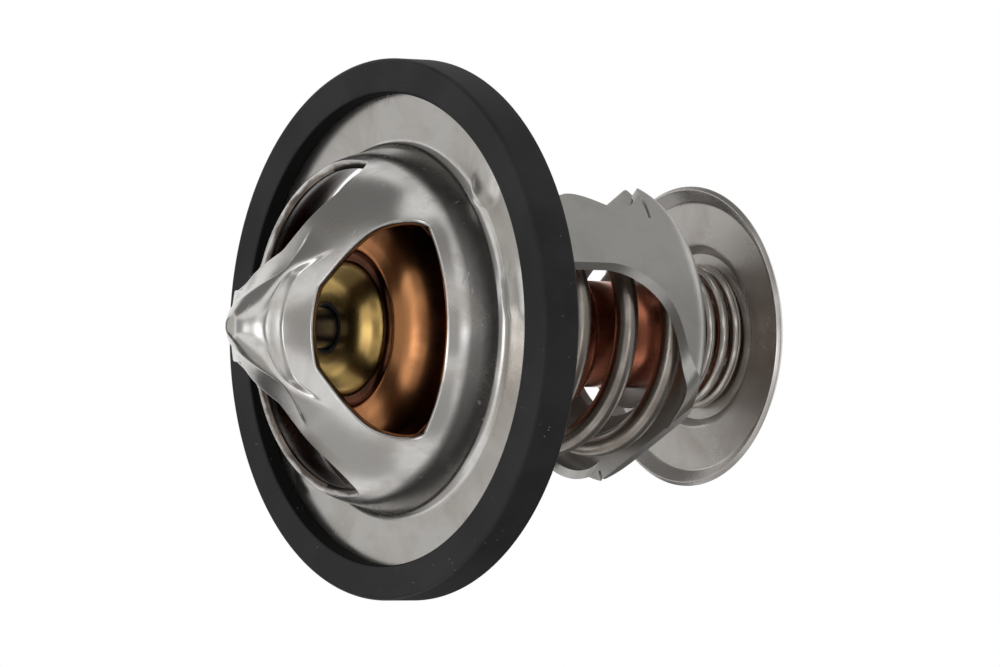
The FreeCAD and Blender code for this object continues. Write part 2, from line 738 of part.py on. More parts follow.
def main_spring():
    grind = MAIN_WIRE * SPRING_GRIND
    low = -FRAME_DEPTH + FRAME_SHEET + grind
    high = VALVE_BRIM_TOP - VALVE_SHEET - grind
    rise = MAIN_END_PITCH * MAIN_END_TURNS
    heights = [(0, low), (MAIN_END_TURNS, low + rise),
               (MAIN_TURNS - MAIN_END_TURNS, high - rise), (MAIN_TURNS, high)]
    return spun(coil(MAIN_R, MAIN_WIRE, heights), MAIN_PHASE)


def bypass_spring():
    grind = BYPASS_WIRE * SPRING_GRIND
    low = DISC_SEAT_Z + grind
    high = TAIL_SEAT_Z - TAIL_SEAT_HEIGHT - grind
    rise = BYPASS_END_PITCH * BYPASS_END_TURNS
    heights = [(0, low), (BYPASS_END_TURNS, low + rise),
               (BYPASS_TURNS - BYPASS_END_TURNS, high - rise), (BYPASS_TURNS, high)]
    return spun(coil(BYPASS_R, BYPASS_WIRE, heights), BYPASS_PHASE)


PIECES = {
    "seal_ring": seal_ring,
    "upper_bridge": upper_bridge,
    "lower_frame": lower_frame,
    "piston_pin": piston_pin,
    "main_spring": main_spring,
    "valve_plate": valve_plate,
    "capsule_cup": capsule_cup,
    "guide": guide,
    "wiper_ring": wiper_ring,
    "backup_washer": backup_washer,
    "rubber_boot": rubber_boot,
    "wax_charge": wax_charge,
    "bypass_spring_seat": bypass_spring_seat,
    "bypass_stem": bypass_stem,
    "stem_clip": stem_clip,
    "bypass_spring": bypass_spring,
    "bypass_disc": bypass_disc,
}

for name, make in PIECES.items():
    piece = make()
    solids = len(piece.Solids)
    print(name, "solids", solids, "valid", piece.isValid(), "volume", round(piece.Volume, 2),
          "z", round(piece.BoundBox.ZMin, 2), round(piece.BoundBox.ZMax, 2))
    piece.exportStep("parts/" + name + ".step")
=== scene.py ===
import math
import bmesh
import bpy
import numpy as np
from mathutils import Matrix, Vector


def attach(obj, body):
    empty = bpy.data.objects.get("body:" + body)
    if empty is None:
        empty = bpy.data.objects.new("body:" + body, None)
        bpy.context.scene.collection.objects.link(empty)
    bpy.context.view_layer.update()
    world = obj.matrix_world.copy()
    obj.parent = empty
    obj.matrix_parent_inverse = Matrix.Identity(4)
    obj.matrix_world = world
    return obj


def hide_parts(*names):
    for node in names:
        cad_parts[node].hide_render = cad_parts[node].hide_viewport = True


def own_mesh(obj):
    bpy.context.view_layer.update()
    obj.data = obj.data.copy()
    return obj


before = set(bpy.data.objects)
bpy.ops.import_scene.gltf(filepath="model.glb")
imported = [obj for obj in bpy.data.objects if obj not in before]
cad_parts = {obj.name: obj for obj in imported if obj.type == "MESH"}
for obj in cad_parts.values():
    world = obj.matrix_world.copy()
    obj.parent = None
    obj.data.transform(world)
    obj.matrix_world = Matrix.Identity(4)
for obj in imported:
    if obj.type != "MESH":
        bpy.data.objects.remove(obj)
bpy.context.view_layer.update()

scene = bpy.context.scene
scene.view_settings.view_transform = "Standard"


# Camera. A long lens looks down on the nose from one side, with the axis lying level in the frame.
# Its place is in millimetres, and its three directions are those of the sensor.
MM = 0.001
camera_data = bpy.data.cameras.new("camera")
camera_data.sensor_width = 36.0
camera_data.lens = 271.62
camera_data.clip_start = 0.05
camera_data.clip_end = 20.0
camera = bpy.data.objects.new("camera", camera_data)
scene.collection.objects.link(camera)
camera_right = Vector((0.59495, 0.02253, -0.80345))
camera_up = Vector((-0.01341, 0.99975, 0.01811))
camera_back = camera_right.cross(camera_up)
camera_turn = Matrix((camera_right, camera_up, camera_back)).transposed().to_4x4()
camera_place = Vector((700.908, -0.184, 504.678)) * MM
camera.matrix_world = Matrix.Translation(camera_place) @ camera_turn
scene.camera = camera


# Studio. A white floor lower than the bypass disc ever reaches, a white surround for the lens and
# for mirrors, a soft lamp over the nose and a small one level with the flange, and grey boards and
# sheets that are seen only as reflections.
FLOOR_Z = -56.0
SHEET_Z = -45.5
BOARD_DISTANCE = 1.2
LAMP_DISTANCE = 1.0


def seen_by_lens(nodes, links):
    """A value of 1 on camera, glossy and transmission rays, and 0 on all others: their maximum."""
    path = nodes.new("ShaderNodeLightPath")
    value = path.outputs["Is Camera Ray"]
    for name in ("Is Glossy Ray", "Is Transmission Ray"):
        larger = nodes.new("ShaderNodeMath")
        larger.operation = "MAXIMUM"
        links.new(value, larger.inputs[0])
        links.new(path.outputs[name], larger.inputs[1])
        value = larger.outputs[0]
    return value


def emptied(owner):
    """The nodes and links of a world or a material, without the ones that it starts with."""
    owner.use_nodes = True
    owner.node_tree.nodes.clear()
    return owner.node_tree.nodes, owner.node_tree.links


def show_to_lens(nodes, links, lighting, shown, surface):
    """One shader goes to the surface for the lens and mirrors, and another lights everything else."""
    choice = nodes.new("ShaderNodeMixShader")
    links.new(seen_by_lens(nodes, links), choice.inputs["Fac"])
    links.new(lighting.outputs[0], choice.inputs[1])
    links.new(shown.outputs[0], choice.inputs[2])
    links.new(choice.outputs[0], surface.inputs["Surface"])


world = bpy.data.worlds.new("surround")
scene.world = world
nodes, links = emptied(world)
ambient = nodes.new("ShaderNodeBackground")
ambient.inputs["Color"].default_value = (1.0, 1.0, 1.0, 1.0)
ambient.inputs["Strength"].default_value = 0.7
white = nodes.new("ShaderNodeBackground")
white.inputs["Color"].default_value = (1.0, 1.0, 1.0, 1.0)
white.inputs["Strength"].default_value = 1.0
show_to_lens(nodes, links, ambient, white, nodes.new("ShaderNodeOutputWorld"))


def flat_board(name, centre, normal, width, height, material):
    """A flat board: its four corners lie half a width and half a height from its centre."""
    normal = Vector(normal).normalized()
    side = normal.cross(Vector((0, 1, 0)) if abs(normal.y) < 0.9 else Vector((1, 0, 0))).normalized()
    up = side.cross(normal)
    middle = Vector(centre)
    spots = [middle + side * (a * width / 2) + up * (b * height / 2)
             for a, b in ((-1, -1), (1, -1), (1, 1), (-1, 1))]
    mesh = bpy.data.meshes.new(name)
    mesh.from_pydata([tuple(spot) for spot in spots], [], [(0, 1, 2, 3)])
    mesh.materials.append(material)
    board = bpy.data.objects.new(name, mesh)
    scene.collection.objects.link(board)
    return board


floor_paint = bpy.data.materials.new("white_floor")
nodes, links = emptied(floor_paint)
paper = nodes.new("ShaderNodeBsdfDiffuse")
paper.inputs["Color"].default_value = (0.8, 0.8, 0.8, 1.0)
glow = nodes.new("ShaderNodeEmission")
glow.inputs["Color"].default_value = (1.0, 1.0, 1.0, 1.0)
glow.inputs["Strength"].default_value = 1.0
show_to_lens(nodes, links, paper, glow, nodes.new("ShaderNodeOutputMaterial"))
flat_board("floor", (0, 0, FLOOR_Z * MM), (0, 0, 1), 3.0, 3.0, floor_paint)


def way_to(turn, lift):
    """The direction at so many degrees round the axis from +X, and so many up from level."""
    turn, lift = math.radians(turn), math.radians(lift)
    return Vector((math.cos(turn) * math.cos(lift), math.sin(turn) * math.cos(lift), math.sin(lift)))


def grey_board(name, tone, centre, facing, width, height):
    """A board seen only as a reflection. It gives the metal a patch of its tone, a little warm."""
    material = bpy.data.materials.new(name)
    nodes, links = emptied(material)
    glow = nodes.new("ShaderNodeEmission")
    glow.inputs["Color"].default_value = (tone, tone * 0.985, tone * 0.965, 1.0)
    surface = nodes.new("ShaderNodeOutputMaterial")
    links.new(glow.outputs[0], surface.inputs["Surface"])
    board = flat_board(name, centre, facing, width, height, material)
    board.visible_camera = False
    board.visible_diffuse = False
    board.visible_shadow = False
    board.visible_transmission = False


for name, tone, turn, lift, width, height in (
        ("board_behind", 0.62, 180, 35, 0.8, 1.0),
        ("board_over", 0.40, 0, 89, 0.9, 0.9),
        ("board_upper", 0.20, 116, 18, 1.4, 1.25),
        ("board_upper_front", 0.26, 55, 22, 0.9, 1.0),
        ("board_lower", 0.46, -112, 20, 0.9, 1.1),
        ("board_low_back", 0.07, -150, 14, 0.6, 0.75),
        ("board_lens", 0.33, 0, 29, 1.0, 0.72),
        ("board_back_low", 0.10, 180, -6, 1.2, 0.62),
        ("board_lower_front", 0.40, -52, 20, 0.9, 1.0)):
    way = way_to(turn, lift)
    grey_board(name, tone, way * BOARD_DISTANCE, -way, width, height)

for name, tone, low, high in (
        ("sheet_upper", 0.42, (-0.10, 0.022), (0.60, 0.45)),
        ("sheet_lower", 0.12, (-0.10, -0.45), (0.60, -0.022)),
        ("sheet_front", 0.30, (0.022, -0.022), (0.60, 0.022))):
    middle = ((low[0] + high[0]) / 2, (low[1] + high[1]) / 2, SHEET_Z * MM)
    grey_board(name, tone, middle, (0, 0, 1), high[0] - low[0], high[1] - low[1])

for name, turn, lift, size, power in (("lamp_nose", -12, 57, 0.42, 0.85), ("lamp_level", 0, 1, 0.14, 0.11)):
    lamp_data = bpy.data.lights.new(name, "AREA")
    lamp_data.shape = "SQUARE"
    lamp_data.size = size
    lamp_data.energy = power
    lamp = bpy.data.objects.new(name, lamp_data)
    scene.collection.objects.link(lamp)
    way = way_to(turn, lift)
    aim = (-way).to_track_quat("-Z", "Y").to_matrix().to_4x4()
    lamp.matrix_world = Matrix.Translation(way * LAMP_DISTANCE) @ aim


# Seal ring. A black rubber ring of U section, moulded with a groove inside. It is stretched over the
# rim of the flange, grips it on both faces, and fills the counterbore of the housing.
def grid_faces(rows, columns, row_loop=False, column_loop=True):
    """Quads between neighbouring rows and columns of points, which either way may close on themselves."""
    i = np.arange(rows if row_loop else rows - 1)
    j = np.arange(columns if column_loop else columns - 1)
    a, b = np.meshgrid(i, j, indexing="ij")
    c = (a + 1) % rows
    d = (b + 1) % columns
    quads = np.stack([a * columns + b, c * columns + b, c * columns + d, a * columns + d], -1)
    return quads.reshape(-1, 4)


def add_piece(name, mesh, material, body, node, sharp):
    """A piece of the model from a mesh: shaded smooth up to an angle between faces, in its material."""
    mesh.materials.clear()
    mesh.materials.append(material)
    mesh.shade_smooth()
    mesh.set_sharp_from_angle(angle=math.radians(sharp))
    piece = bpy.data.objects.new(name, mesh)
    scene.collection.objects.link(piece)
    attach(piece, body)
    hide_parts(node)
    return piece


def make_piece(name, points, faces, material, body, node, sharp=40.0, depth=None):
    """A piece from points in millimetres and quads. Doubled points are welded, so poles and seams
    close, and the faces are turned outwards if the volume they enclose comes out negative. Depth, if
    given, tells each point how far into the sheet it lies, for the material's painted shade."""
    mesh = bpy.data.meshes.new(name)
    mesh.from_pydata((np.asarray(points) * MM).tolist(), [], np.asarray(faces).tolist())
    if depth is not None:
        mesh.attributes.new("depth", "FLOAT", "POINT").data.foreach_set("value", np.asarray(depth) * MM)
    work = bmesh.new()
    work.from_mesh(mesh)
    bmesh.ops.remove_doubles(work, verts=work.verts, dist=1e-7)
    bmesh.ops.dissolve_degenerate(work, edges=work.edges, dist=1e-8)
    if work.calc_volume(signed=True) < 0:
        bmesh.ops.reverse_faces(work, faces=work.faces)
    work.to_mesh(mesh)
    work.free()
    return add_piece(name, mesh, material, body, node, sharp)


def rounded_line(corners, radii, steps=9, lead=0.12):
    """A line through the corners. Each inner corner becomes a tangent arc of its own radius: centre
    plus the two tangent directions mixed by sines. A point just before and after keeps runs flat."""
    corner = np.array(corners, float)
    radius = np.maximum(np.array(radii, float), 1e-4)[:, None]
    runs = np.diff(corner, axis=0)
    lengths = np.linalg.norm(runs, axis=1)[:, None]
    runs = runs / lengths
    into, out = runs[:-1], runs[1:]
    bend = np.arccos(np.clip((into * out).sum(1), -1, 1))[:, None]
    reach = radius * np.tan(bend / 2)
    inner = corner[1:-1]
    first = inner - into * reach
    last = inner + out * reach
    inward = out - into
    inward = inward / np.linalg.norm(inward, axis=1)[:, None]
    centre = inner + inward * radius / np.cos(bend / 2)
    u = np.linspace(0, 1, steps)[None, :, None]
    angle = bend[:, :, None]
    mix = np.sin((1 - u) * angle) * (first - centre)[:, None] + np.sin(u * angle) * (last - centre)[:, None]
    arcs = centre[:, None] + mix / np.sin(angle)
    before = first - into * np.minimum(lead, lengths[:-1] * 0.2)
    after = last + out * np.minimum(lead, lengths[1:] * 0.2)
    spots = np.concatenate([before[:, None], arcs, after[:, None]], 1).reshape(-1, 2)
    return np.concatenate([corner[:1], spots, corner[-1:]])


def rounded_loop(corners, radii):
    """A closed outline: the same line, started and ended halfway along its first run."""
    corner = [tuple(c) for c in corners]
    half = tuple((np.array(corner[0]) + np.array(corner[1])) / 2)
    return rounded_line([half] + corner[1:] + corner[:1] + [half], list(radii[1:]) + [radii[0]])


def turned(profile, columns):
    """Points and quads of a surface of revolution: radius times cosine and sine, and the height."""
    profile = np.asarray(profile)
    angle = np.arange(columns) * 2 * math.pi / columns
    radius = np.maximum(profile[:, 0], 0)[:, None]
    x = radius * np.cos(angle)
    y = radius * np.sin(angle)
    z = np.repeat(profile[:, 1][:, None], columns, 1)
    return np.stack([x, y, z], -1).reshape(-1, 3), grid_faces(len(profile), columns)


def object_place(nodes):
    """The object's own coordinates, in metres."""
    return nodes.new("ShaderNodeTexCoord").outputs["Object"]


def apart_xyz(nodes, links, vector):
    """The three parts of a vector, by name."""
    apart = nodes.new("ShaderNodeSeparateXYZ")
    links.new(vector, apart.inputs[0])
    return apart.outputs


def from_axis(nodes, links):
    """Distance from the part's axis, from the object coordinates X and Y."""
    apart = apart_xyz(nodes, links, object_place(nodes))
    plane = nodes.new("ShaderNodeCombineXYZ")
    links.new(apart["X"], plane.inputs["X"])
    links.new(apart["Y"], plane.inputs["Y"])
    length = nodes.new("ShaderNodeVectorMath")
    length.operation = "LENGTH"
    links.new(plane.outputs[0], length.inputs[0])
    return length.outputs["Value"]


def noise(nodes, links, place, scale, detail, roughness=0.55):
    """A noise on the given coordinates. Its scale is a number or a socket."""
    made = nodes.new("ShaderNodeTexNoise")
    made.inputs["Detail"].default_value = detail
    made.inputs["Roughness"].default_value = roughness
    links.new(place, made.inputs["Vector"])
    if isinstance(scale, float):
        made.inputs["Scale"].default_value = scale
    else:
        links.new(scale, made.inputs["Scale"])
    return made


def ramp(nodes, links, value, low, high):
    """A smooth step from 0 at low to 1 at high."""
    made = nodes.new("ShaderNodeMapRange")
    made.interpolation_type = "SMOOTHSTEP"
    made.inputs["From Min"].default_value = low
    made.inputs["From Max"].default_value = high
    links.new(value, made.inputs["Value"])
    return made.outputs["Result"]


def sum_of(nodes, links, first, second, operation="ADD"):
    """Two values joined by a sum or another operation. Each is a socket or a number."""
    made = nodes.new("ShaderNodeMath")
    made.operation = operation
    for value, socket in zip((first, second), made.inputs):
        if isinstance(value, (int, float)):
            socket.default_value = value
        else:
            links.new(value, socket)
    return made.outputs[0]


def colour_mix(nodes, links, factor, first, second):
    """The first colour, gone over to the second by a factor. Each colour is a socket or three numbers."""
    made = nodes.new("ShaderNodeMix")
    made.data_type = "RGBA"
    links.new(factor, made.inputs["Factor"])
    for label, colour in (("A", first), ("B", second)):
        if isinstance(colour, (tuple, list)):
            made.inputs[label].default_value = (*colour, 1)
        else:
            links.new(colour, made.inputs[label])
    return made.outputs["Result"]


def set_bump(nodes, links, shader, height, strength, distance):
    """Bends the shader's normals by a height, as strongly as given, for a relief so many metres deep."""
    bump = nodes.new("ShaderNodeBump")
    bump.inputs["Strength"].default_value = strength
    bump.inputs["Distance"].default_value = distance
    links.new(height, bump.inputs["Height"])
    links.new(bump.outputs["Normal"], shader.inputs["Normal"])


def new_skin(name):
    """A new material, with its nodes, its links and its shader."""
    material = bpy.data.materials.new(name)
    material.use_nodes = True
    nodes = material.node_tree.nodes
    return material, nodes, material.node_tree.links, nodes["Principled BSDF"]


def new_group(name, inputs, outputs):
    """An empty shader node group with named inputs and outputs, its nodes and links, and its two ends."""
    group = bpy.data.node_groups.new(name, "ShaderNodeTree")
    for label, kind, value in inputs:
        socket = group.interface.new_socket(label, in_out="INPUT", socket_type=kind)
        socket.default_value = value
    for label, kind in outputs:
        group.interface.new_socket(label, in_out="OUTPUT", socket_type=kind)
    source = group.nodes.new("NodeGroupInput").outputs
    sink = group.nodes.new("NodeGroupOutput").inputs
    return group, group.nodes, group.links, source, sink


def use_group(nodes, group):
    """A node of the group in a material."""
    made = nodes.new("ShaderNodeGroup")
    made.node_tree = group
    return made


FLOAT = "NodeSocketFloat"
COLOUR = "NodeSocketColor"

# Dust, shared by every rubber and metal skin: pale specks in some of the cells of a fine pattern.
dust_group, nodes, links, source, sink = new_group(
    "dust_specks",
    [("Colour", COLOUR, (0.5, 0.5, 0.5, 1)), ("Speck Colour", COLOUR, (0.5, 0.5, 0.48, 1)),
     ("Amount", FLOAT, 0.5), ("Scale", FLOAT, 900.0)],
    [("Colour", COLOUR), ("Mask", FLOAT)])
place = object_place(nodes)
cells = nodes.new("ShaderNodeTexVoronoi")
cells.feature = "F1"
links.new(place, cells.inputs["Vector"])
links.new(source["Scale"], cells.inputs["Scale"])
near = ramp(nodes, links, cells.outputs["Distance"], 0.16, 0.05)
few = ramp(nodes, links, noise(nodes, links, place, 400.0, 2.0).outputs["Fac"], 0.6, 0.68)
mask = sum_of(nodes, links, sum_of(nodes, links, near, few, "MULTIPLY"), source["Amount"], "MULTIPLY")
links.new(colour_mix(nodes, links, mask, source["Colour"], source["Speck Colour"]), sink["Colour"])
links.new(mask, sink["Mask"])


def rubber(name, colour, roughness, grain, speck, bore=0.0):
    """Moulded rubber: a fine orange-peel bump, patchy bloom in colour and roughness, pale dust. Within
    the bore's radius, in mm, it is dull and painted black as shade."""
    material, nodes, links, shader = new_skin(name)
    shader.inputs["Specular IOR Level"].default_value = 0.25
    place = object_place(nodes)
    patch = noise(nodes, links, place, 90.0, 5.0).outputs["Fac"]
    bloom = colour_mix(nodes, links, ramp(nodes, links, patch, 0.35, 0.68),
                       [part * 0.75 for part in colour], [part * 1.35 for part in colour])
    # Painted shade: inside the bore the rubber is painted black, for the shade on the seal's inner wall.
    beyond_painted_bore_shade = ramp(nodes, links, from_axis(nodes, links), (bore - 0.05) * MM, (bore + 0.15) * MM)
    dust = use_group(nodes, dust_group)
    dust.inputs["Amount"].default_value = speck
    dust.inputs["Scale"].default_value = 1500.0
    links.new(colour_mix(nodes, links, beyond_painted_bore_shade, (0.001, 0.001, 0.001), bloom), dust.inputs["Colour"])
    links.new(dust.outputs["Colour"], shader.inputs["Base Color"])
    shine = nodes.new("ShaderNodeMapRange")
    shine.inputs["To Min"].default_value = roughness - 0.08
    shine.inputs["To Max"].default_value = roughness + 0.1
    links.new(patch, shine.inputs["Value"])
    dull = sum_of(nodes, links, sum_of(nodes, links, 1.0, beyond_painted_bore_shade, "SUBTRACT"), 0.45, "MULTIPLY")
    links.new(sum_of(nodes, links, shine.outputs["Result"], dull), shader.inputs["Roughness"])
    set_bump(nodes, links, shader, noise(nodes, links, place, 2600.0, 3.0).outputs["Fac"], 0.5, grain)
    return material


SEAL_R = 31.0
SEAL_LIP_R = 27.0
SEAL_HALF = 2.5
RIM_R = 29.0
GROOVE_R = RIM_R + 0.1
SHEET = 1.1
# The seal's inner lip wall, inside 27.1 mm, is painted black as shade.
seal_rubber = rubber("seal_rubber", (0.018, 0.0178, 0.0184), 0.5, 0.00004, 0.5, SEAL_LIP_R + 0.1)
seal_outline = rounded_loop(
    [(SEAL_LIP_R, SHEET / 2), (SEAL_LIP_R, SEAL_HALF), (SEAL_R, SEAL_HALF), (SEAL_R, -SEAL_HALF),
     (SEAL_LIP_R, -SEAL_HALF), (SEAL_LIP_R, -SHEET / 2), (GROOVE_R, -SHEET / 2), (GROOVE_R, SHEET / 2)],
    [0.15, 0.45, 0.5, 0.5, 0.45, 0.15, 0.05, 0.05])
points, faces = turned(seal_outline, 360)
make_piece("seal_ring_rubber", points, faces, seal_rubber, "housing", "seal_ring")


# Upper bridge. Flange, neck and dome are drawn from one stainless sheet. Three windows are cut
# between three legs, a scoop is pressed over each of them, and the nose stands up between the
# scoops. Shallow buttons in the flange lock the lower frame.

# The wear that every metal piece shares: stains, uneven polish, fine grain, ring marks, scratches.
wear_group, nodes, links, source, sink = new_group(
    "metal_wear",
    [("Colour", COLOUR, (0.6, 0.6, 0.6, 1)), ("Stain Colour", COLOUR, (0.4, 0.35, 0.3, 1)),
     ("Stain", FLOAT, 0.3), ("Stain Scale", FLOAT, 110.0), ("Roughness", FLOAT, 0.3),
     ("Spread", FLOAT, 0.1), ("Grain Scale", FLOAT, 1800.0), ("Ring Scale", FLOAT, 1500.0),
     ("Ring Share", FLOAT, 0.5), ("Scratch", FLOAT, 0.3)],
    [("Colour", COLOUR), ("Roughness", FLOAT), ("Height", FLOAT)])
place = object_place(nodes)
apart = apart_xyz(nodes, links, place)
angle = sum_of(nodes, links, apart["Y"], apart["X"], "ARCTAN2")
rings = nodes.new("ShaderNodeCombineXYZ")
links.new(from_axis(nodes, links), rings.inputs["X"])
links.new(apart["Z"], rings.inputs["Y"])
links.new(sum_of(nodes, links, angle, 0.0006, "MULTIPLY"), rings.inputs["Z"])
ring_marks = noise(nodes, links, rings.outputs[0], source["Ring Scale"], 5.0, 0.5).outputs["Fac"]
fine_grain = noise(nodes, links, place, source["Grain Scale"], 5.0, 0.5).outputs["Fac"]
stain_noise = noise(nodes, links, place, source["Stain Scale"], 7.0, 0.62)
stain_noise.inputs["Distortion"].default_value = 0.6
cloud = stain_noise.outputs["Fac"]
stain_mask = sum_of(nodes, links, ramp(nodes, links, cloud, 0.42, 0.7), source["Stain"], "MULTIPLY")
stretch = nodes.new("ShaderNodeMapping")
stretch.inputs["Rotation"].default_value = (0.3, 0.5, 0.6)
stretch.inputs["Scale"].default_value = (1.0, 0.03, 0.3)
links.new(place, stretch.inputs["Vector"])
thin_line = ramp(nodes, links, noise(nodes, links, stretch.outputs[0], 2200.0, 1.0).outputs["Fac"], 0.74, 0.8)
scratch_mask = sum_of(nodes, links, thin_line, source["Scratch"], "MULTIPLY")
links.new(colour_mix(nodes, links, stain_mask, source["Colour"], source["Stain Colour"]), sink["Colour"])
swing = sum_of(nodes, links, sum_of(nodes, links, cloud, 0.5, "SUBTRACT"), 2.0, "MULTIPLY")
swing = sum_of(nodes, links, swing, source["Spread"], "MULTIPLY")
rough = sum_of(nodes, links, source["Roughness"], swing)
rough = sum_of(nodes, links, rough, sum_of(nodes, links, scratch_mask, 0.25, "MULTIPLY"))
links.new(rough, sink["Roughness"])
share = nodes.new("ShaderNodeMix")
share.data_type = "FLOAT"
links.new(source["Ring Share"], share.inputs["Factor"])
links.new(fine_grain, share.inputs["A"])
links.new(ring_marks, share.inputs["B"])
links.new(sum_of(nodes, links, share.outputs["Result"], scratch_mask, "SUBTRACT"), sink["Height"])


def painted_shade_by_measure(nodes, links, colour, dark, measure, low, high):
    """Painted shade: the metal's colour, gone dark where a measure passes from low to high, in mm,
    to stand in for shade. The measure is the distance from the axis, the height, or the piece's own
    attribute of depth into the sheet. A noise makes the edge ragged."""
    place = object_place(nodes)
    if measure == "radius":
        value = from_axis(nodes, links)
    elif measure == "height":
        value = apart_xyz(nodes, links, place)["Z"]
    else:
        attribute = nodes.new("ShaderNodeAttribute")
        attribute.attribute_name = measure
        value = attribute.outputs["Fac"]
    ragged = sum_of(nodes, links, noise(nodes, links, place, 260.0, 4.0).outputs["Fac"], 0.5, "SUBTRACT")
    value = sum_of(nodes, links, value, sum_of(nodes, links, ragged, 0.0012, "MULTIPLY"))
    return colour_mix(nodes, links, ramp(nodes, links, value, low * MM, high * MM), colour, dark)


def metal(name, colour, stain_colour, roughness, relief, shade_part=None, **values):
    """A metal skin: colour, roughness and bump height come from the wear group, with these values. A
    shade part is painted shade: a colour, a measure, and the two places between which the skin
    turns to it."""
    material, nodes, links, shader = new_skin(name)
    shader.inputs["Metallic"].default_value = 1.0
    wear = use_group(nodes, wear_group)
    wear.inputs["Colour"].default_value = (*colour, 1)
    wear.inputs["Stain Colour"].default_value = (*stain_colour, 1)
    wear.inputs["Roughness"].default_value = roughness
    if shade_part:
        # Painted shade: the colour turns dark by a measure, standing in for shade.
        links.new(painted_shade_by_measure(nodes, links, colour, *shade_part), wear.inputs["Colour"])
    for label, value in values.items():
        wear.inputs[label.replace("_", " ").title()].default_value = value
    dust = use_group(nodes, dust_group)
    dust.inputs["Amount"].default_value = 0.35
    links.new(wear.outputs["Colour"], dust.inputs["Colour"])
    links.new(dust.outputs["Colour"], shader.inputs["Base Color"])
    links.new(wear.outputs["Roughness"], shader.inputs["Roughness"])
    set_bump(nodes, links, shader, wear.outputs["Height"], 0.6, relief)
    return material


def beside(points, bends, depth):
    """The folded line moved to its right by a depth: each corner moves along the mitre of its two
    runs, and each bend keeps its centre."""
    line = np.array(points, float)
    runs = np.diff(line, axis=0)
    runs /= np.linalg.norm(runs, axis=1)[:, None]
    side = np.stack([runs[:, 1], -runs[:, 0]], 1)
    first, second = side[:-1], side[1:]
    mitre = first + second
    mitre /= np.linalg.norm(mitre, axis=1)[:, None]
    moved = line.copy()
    moved[0] += side[0] * depth
    moved[-1] += side[-1] * depth
    moved[1:-1] += mitre * (depth / (mitre * first).sum(1))[:, None]
    right_turn = first[:, 0] * second[:, 1] - first[:, 1] * second[:, 0] < 0
    radii = np.array(bends, float) + np.where(right_turn, -depth, depth)
    return moved, np.maximum(radii, 0.05)


# The sheet's outside, from the rim over the neck to the dome's top, and the nose's outside.
FLANGE_TOP = SHEET / 2
NECK_FOOT_R = 21.1
NECK_TOP_R = 20.0
NECK_HEIGHT = 4.85
SPLIT_Z = FLANGE_TOP + 4.0
NOSE_TOP = FLANGE_TOP + 22.85
NOSE_FLAT_R = 1.2
NOSE_FOOT_R = 14.5
NOSE_FALL = (NOSE_FOOT_R - NOSE_FLAT_R) * math.tan(math.radians(37.5))
dome_corners = [(RIM_R, FLANGE_TOP), (NECK_FOOT_R, FLANGE_TOP), (NECK_TOP_R, FLANGE_TOP + NECK_HEIGHT),
                (16.7, FLANGE_TOP + 12.1), (0.0, FLANGE_TOP + 20.65)]
dome_bends = [1.3, 9.0, 17.0]
nose_corners = [(0.0, NOSE_TOP), (NOSE_FLAT_R, NOSE_TOP), (NOSE_FOOT_R, NOSE_TOP - NOSE_FALL)]
nose_skin = rounded_line(nose_corners, [2.0], 200)
dome_skin = rounded_line(dome_corners, dome_bends, 400)
rising = dome_skin[np.flatnonzero(np.diff(dome_skin[:, 1]) > 0)[0]:]
SPLIT_R = float(np.interp(SPLIT_Z, rising[:, 1], rising[:, 0]))
upper = np.concatenate([[[SPLIT_R, SPLIT_Z]], rising[rising[:, 1] > SPLIT_Z]])
upper_radius, upper_height = upper[::-1, 0], upper[::-1, 1]
upper_slope = np.gradient(upper_height, upper_radius)

# The scoops: the edge's place and the angle of its sides, and how far its parts run, in plan.
SCOOP_R = 3.95
SCOOP_CORNER = (3.3, 5.7)
SCOOP_SIDE = math.radians(33)
SCOOP_ROUND = 1.0
SCOOP_SHIFT = 0.15
SHOULDER = 1.2
SHOULDER_DROP = 0.22
FOLD = 0.7
FOLD_SHARE = 0.84
FOLD_INSET = 0.4
FILLET = 2.2
RIDGE_END = 12.8
RIDGE_FADE = 4.5
FLUTE = 0.12
FLUTE_START = 0.5
FLUTE_LENGTH = SCOOP_R - 0.2


def raised(x, y):
    """How far a plan point lies outside the scoops pressed over the three windows, negative inside
    them. A scoop is bounded by a line across the window's middle direction and by two lines that
    spread from its corners. The greater of the two distances is taken, rounded where they are near
    each other. Also the distance along the window's middle direction, the radius, and the cosine of
    three times the angle."""
    radius = np.maximum(np.hypot(x, y), 1e-6)
    turn = np.arctan2(y, x)
    turn = turn - 2 * math.pi / 3 * np.round(turn / (2 * math.pi / 3))
    along = radius * np.cos(turn)
    aside = np.sqrt((radius * np.sin(turn)) ** 2 + 0.01)
    near = SCOOP_R - along
    side = (aside - SCOOP_CORNER[1]) * math.cos(SCOOP_SIDE) - (along - SCOOP_CORNER[0]) * math.sin(SCOOP_SIDE)
    outside = 0.5 * (near + side + np.sqrt((near - side) ** 2 + SCOOP_ROUND)) - SCOOP_SHIFT
    return outside, along, radius, np.cos(3 * turn)


def smooth_step(value):
    """Three times the square less twice the cube of a value held between 0 and 1."""
    value = np.clip(value, 0, 1)
    return value * value * (3 - 2 * value)


